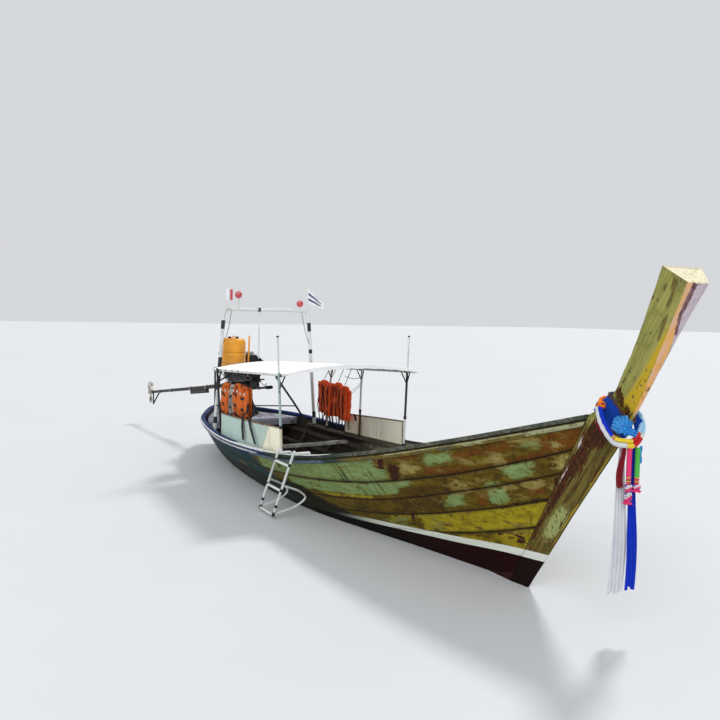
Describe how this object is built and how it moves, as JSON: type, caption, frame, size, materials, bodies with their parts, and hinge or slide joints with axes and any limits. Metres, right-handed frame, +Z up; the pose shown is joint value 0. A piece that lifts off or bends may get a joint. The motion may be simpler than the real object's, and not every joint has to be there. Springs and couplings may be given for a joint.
{
  "type": "wooden longtail boat",
  "caption": "Open planked wooden boat with a tall raked prow post, cloth canopy, stern arch and a swivelling engine with a long propeller tail.",
  "frame": {"origin": "on the centreline at the water plane, near amidships", "axes": "+X towards the bow, +Y towards port, +Z up"},
  "size_m": [11.6694, 2.1025, 2.8933],
  "materials": {
    "bottom_paint": "maroon-black bottom paint on planks",
    "topside_paint": "worn ochre-brown paint on planks",
    "sheer_paint": "worn pale sage paint",
    "post_paint": "worn ochre paint on a timber post",
    "navy_paint": "worn navy paint",
    "rail_paint": "worn grey-green paint",
    "inner_wood": "oiled and worn inner wood",
    "bench_paint": "worn grey-white paint",
    "screen_sheet": "pale screen sheet",
    "canopy_cloth": "white coated cloth",
    "white_tube": "white paint on steel tube",
    "dark_steel": "black paint, worn",
    "engine_iron": "oily dark castings",
    "rusty_steel": "heat-stained steel",
    "propeller_metal": "worn cast metal",
    "red_lens": "red lamp lens in a white rim",
    "flag_cloth": "thin pale cloth",
    "can_plastic": "orange-yellow moulded plastic",
    "vest_foam": "orange-red cloth over foam",
    "wrap_cloth": "royal blue cloth",
    "garland_cloth": "twisted coloured cloth rope",
    "white_cloth": "thin pale cloth",
    "blue_cloth": "thin blue cloth",
    "maroon_cloth": "thin maroon cloth",
    "pink_cloth": "pink flowers and thread"
  },
  "bodies": {
    "boat": {"keel": "bottom_paint", "prow_post": "post_paint", "stern_post": "navy_paint", "ribs_and_keelson": "inner_wood", "rail_cap_port": "rail_paint", "rail_cap_starboard": "rail_paint", "rub_rail_port": "sheer_paint", "rub_rail_starboard": "sheer_paint", "inwale_port": "inner_wood", "inwale_starboard": "inner_wood", "floorboards": "inner_wood", "thwart_aft": "bench_paint", "thwart_middle": "bench_paint", "thwart_forward": "bench_paint", "foredeck": "rail_paint", "stern_deck": "navy_paint", "side_screen_starboard": "screen_sheet", "side_screen_port": "screen_sheet", "canopy_sheet": "canopy_cloth", "canopy_frame": "white_tube", "canopy_pole_starboard_fore": "white_tube", "canopy_pole_starboard_aft": "white_tube", "canopy_pole_port_fore": "white_tube", "canopy_pole_port_middle": "white_tube", "canopy_pole_port_aft": "white_tube", "arch": "white_tube", "lamp_port": "red_lens", "lamp_starboard": "red_lens", "flag_port": "flag_cloth", "flag_starboard": "flag_cloth", "can_shelf": "dark_steel", "fuel_can": "can_plastic", "boarding_ladder": "white_tube", "life_vests_starboard": "vest_foam", "life_vests_port": "vest_foam", "engine_stand": "dark_steel", "prow_wrap": "wrap_cloth", "prow_garland": "garland_cloth", "prow_ribbon_white": "white_cloth", "prow_ribbon_blue": "blue_cloth", "prow_ribbon_maroon": "maroon_cloth", "prow_tassel": "pink_cloth", "strake_port_1": "bottom_paint", "strake_port_2": "bottom_paint", "strake_port_3": "topside_paint", "strake_port_4": "topside_paint", "strake_port_5": "topside_paint", "strake_port_6": "topside_paint", "strake_starboard_1": "bottom_paint", "strake_starboard_2": "bottom_paint", "strake_starboard_3": "topside_paint", "strake_starboard_4": "topside_paint", "strake_starboard_5": "topside_paint", "strake_starboard_6": "topside_paint"},
    "swivel": {"swivel_yoke": "dark_steel"},
    "engine": {"tail_tube": "dark_steel", "engine_block": "engine_iron", "exhaust_pipe": "rusty_steel", "tiller_handle": "dark_steel"},
    "propeller": {"propeller": "propeller_metal"}
  },
  "joints": [
    {"name": "steering", "type": "hinge", "parent": "boat", "child": "swivel", "pos_m": [-3.55, 0, 0.9], "axis": [0, 0, 1], "range_deg": [-36, 26.5]},
    {"name": "tail_tilt", "type": "hinge", "parent": "swivel", "child": "engine", "pos_m": [-3.55, 0, 1.05], "axis": [-0.1478, 0.989, 0], "range_deg": [-11.5, 9]},
    {"name": "propeller_spin", "type": "hinge", "parent": "engine", "child": "propeller", "pos_m": [-7.10122, -0.53132, 0.58952], "axis": [0.981, 0.1466, 0.1271], "continuous": true}
  ]
}
